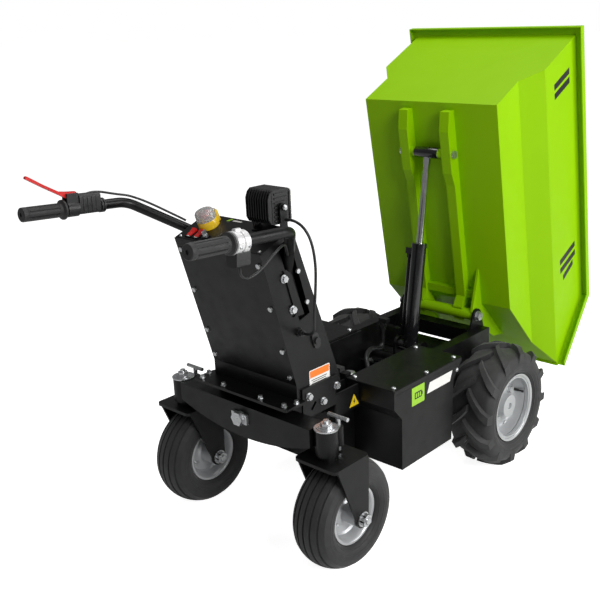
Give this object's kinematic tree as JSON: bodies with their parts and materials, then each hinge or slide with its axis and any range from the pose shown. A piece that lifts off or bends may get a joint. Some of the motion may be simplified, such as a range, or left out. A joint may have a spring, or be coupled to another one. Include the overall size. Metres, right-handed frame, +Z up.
{
  "type": "power_wheelbarrow",
  "caption": "Battery power wheelbarrow: lime green hydraulic tipping skip, black steel chassis, two lugged drive wheels, two rear casters, handlebar with throttle and work light",
  "frame": {"origin": "under the middle of the machine, on the ground; x runs forward, y to the machine's left, z up", "axes": "+X the way it drives, +Y its left side, +Z up; the drive axle is at x = 0.272 m"},
  "size_m": [1.4794, 0.618, 1.1274],
  "materials": {
    "frame_black": "gloss",
    "skip_green": "gloss",
    "red_paint": "gloss",
    "lamp_black": "satin",
    "cylinder_black": "gloss",
    "rim_silver": "satin",
    "zinc": "satin",
    "motor_steel": "satin",
    "cast_grey": "matte",
    "chrome_rod": "polished",
    "tyre_rubber": "matte",
    "black_rubber": "matte",
    "hose_rubber": "satin",
    "grip_rubber": "matte",
    "cable_black": "satin",
    "black_plastic": "satin",
    "battery_grey": "matte",
    "tank_plastic": "satin",
    "yellow_plastic": "gloss",
    "red_plastic": "gloss",
    "clear_plastic": "gloss",
    "clear_lens": "polished"
  },
  "bodies": {
    "chassis": {"main_frame": "frame_black", "rest_pads": "black_rubber", "battery_box_left": "frame_black", "battery_box_right": "frame_black", "box_lid_left": "frame_black", "box_lid_right": "frame_black", "batteries": "battery_grey", "transaxle": "cast_grey", "drive_motor": "motor_steel", "hydraulic_tank": "tank_plastic", "power_unit": "motor_steel", "hydraulic_hose": "hose_rubber", "console_housing": "frame_black", "console_cover": "frame_black", "console_top": "frame_black", "console_bolts": "zinc", "motor_controller": "cast_grey", "estop_base": "yellow_plastic", "light_bracket": "frame_black", "lamp_cable": "cable_black", "console_ports": "black_plastic", "hinge_pins": "zinc", "beam_pivot": "zinc"},
    "skip": {"skip_tub": "skip_green", "skip_underframe": "skip_green", "rod_pin": "zinc"},
    "rod": {"cylinder_rod": "chrome_rod"},
    "barrel": {"cylinder_barrel": "cylinder_black", "cylinder_pipe": "cylinder_black"},
    "drive_wheel_left_body": {"drive_rim_left": "rim_silver", "drive_tyre_left": "tyre_rubber"},
    "drive_wheel_right_body": {"drive_rim_right": "rim_silver", "drive_tyre_right": "tyre_rubber"},
    "rear_axle": {"rear_beam": "frame_black", "kingpin_caps": "zinc"},
    "caster_left": {"caster_fork_left": "frame_black"},
    "caster_wheel_left_body": {"caster_rim_left": "rim_silver", "caster_tyre_left": "tyre_rubber"},
    "lock_left": {"lock_pin_left": "zinc"},
    "caster_right": {"caster_fork_right": "frame_black"},
    "caster_wheel_right_body": {"caster_rim_right": "rim_silver", "caster_tyre_right": "tyre_rubber"},
    "lock_right": {"lock_pin_right": "zinc"},
    "bar": {"handlebar": "frame_black", "clamp_bolts": "zinc", "grip_left": "grip_rubber", "throttle_housing": "clear_plastic", "brake_bracket": "black_plastic", "control_cables": "cable_black"},
    "throttle": {"throttle_grip": "grip_rubber"},
    "lever": {"brake_lever": "red_paint"},
    "estop": {"estop_button": "red_plastic"},
    "estop_guard": {"estop_cover": "clear_plastic"},
    "lift_rocker": {"lift_switch": "red_plastic"},
    "light_rocker": {"light_switch": "red_plastic"},
    "key": {"key_switch": "zinc"},
    "lamp": {"work_light": "lamp_black", "light_lens": "clear_lens"}
  },
  "joints": [
    {"name": "skip_tip", "type": "hinge", "parent": "chassis", "child": "skip", "pos_m": [0.3572, 0, 0.364], "axis": [0, -1, 0], "range_deg": [0, 80]},
    {"name": "rod_swing", "type": "hinge", "parent": "skip", "child": "rod", "pos_m": [0.2942, 0, 0.815], "axis": [0, -1, 0], "range_deg": [-1, 4]},
    {"name": "cylinder_stroke", "type": "slide", "parent": "rod", "child": "barrel", "axis": [0.1543, 0, 0.988], "range_m": [-0.001, 0.2095]},
    {"name": "drive_wheel_left", "type": "hinge", "parent": "chassis", "child": "drive_wheel_left_body", "pos_m": [0.2722, 0.246, 0.165], "axis": [0, 1, 0], "continuous": true},
    {"name": "drive_wheel_right", "type": "hinge", "parent": "chassis", "child": "drive_wheel_right_body", "pos_m": [0.2722, -0.246, 0.165], "axis": [0, 1, 0], "continuous": true},
    {"name": "rear_axle_roll", "type": "hinge", "parent": "chassis", "child": "rear_axle", "pos_m": [-0.3958, 0, 0.313], "axis": [1, 0, 0], "range_deg": [-8, 8]},
    {"name": "caster_swivel_left", "type": "hinge", "parent": "rear_axle", "child": "caster_left", "pos_m": [-0.3938, 0.232, 0.28], "axis": [0, 0, 1], "continuous": true},
    {"name": "caster_wheel_left", "type": "hinge", "parent": "caster_left", "child": "caster_wheel_left_body", "pos_m": [-0.3508, 0.232, 0.128], "axis": [0, 1, 0], "continuous": true},
    {"name": "caster_lock_left", "type": "slide", "parent": "rear_axle", "child": "lock_left", "axis": [0, 0, 1], "range_m": [0, 0.01], "stiffness_N_per_m": 900},
    {"name": "caster_swivel_right", "type": "hinge", "parent": "rear_axle", "child": "caster_right", "pos_m": [-0.3938, -0.232, 0.28], "axis": [0, 0, 1], "continuous": true},
    {"name": "caster_wheel_right", "type": "hinge", "parent": "caster_right", "child": "caster_wheel_right_body", "pos_m": [-0.3508, -0.232, 0.128], "axis": [0, 1, 0], "continuous": true},
    {"name": "caster_lock_right", "type": "slide", "parent": "rear_axle", "child": "lock_right", "axis": [0, 0, 1], "range_m": [0, 0.01], "stiffness_N_per_m": 900},
    {"name": "handlebar_height", "type": "slide", "parent": "chassis", "child": "bar", "axis": [-0.287, 0, 0.9579], "range_m": [-0.01, 0.01]},
    {"name": "throttle_twist", "type": "hinge", "parent": "bar", "child": "throttle", "pos_m": [-0.6878, -0.2548, 0.79639], "axis": [0.9983, 0.0245, -0.0532], "range_deg": [0, 60], "stiffness_Nm_per_rad": 0.25},
    {"name": "brake_lever_press", "type": "hinge", "parent": "bar", "child": "lever", "pos_m": [-0.6228, 0.253, 0.82], "axis": [0, -1, 0], "range_deg": [0, 13], "stiffness_Nm_per_rad": 2},
    {"name": "estop_press", "type": "slide", "parent": "chassis", "child": "estop", "axis": [0.3697, 0, -0.9292], "range_m": [0, 0.004]},
    {"name": "estop_cover_flip", "type": "hinge", "parent": "chassis", "child": "estop_guard", "pos_m": [-0.39208, 0.081, 0.77086], "axis": [0, 1, 0], "range_deg": [0, 95]},
    {"name": "lift_switch_rock", "type": "hinge", "parent": "chassis", "child": "lift_rocker", "pos_m": [-0.43822, 0.099, 0.72452], "axis": [0, 1, 0], "range_deg": [0, 16]},
    {"name": "light_switch_rock", "type": "hinge", "parent": "chassis", "child": "light_rocker", "pos_m": [-0.43822, 0.075, 0.72452], "axis": [0, 1, 0], "range_deg": [0, 16]},
    {"name": "key_turn", "type": "hinge", "parent": "chassis", "child": "key", "pos_m": [-0.44147, 0.052, 0.72592], "axis": [-0.3697, 0, 0.9292], "range_deg": [0, 60]},
    {"name": "light_tilt", "type": "hinge", "parent": "chassis", "child": "lamp", "pos_m": [-0.3838, -0.084, 0.798], "axis": [0, 1, 0], "range_deg": [-20, 20]}
  ],
  "couplings": [
    {"joint": "rod_swing", "follows": "skip_tip", "ratio": 0.033076},
    {"joint": "cylinder_stroke", "follows": "skip_tip", "m_per_rad": 0.14926}
  ]
}
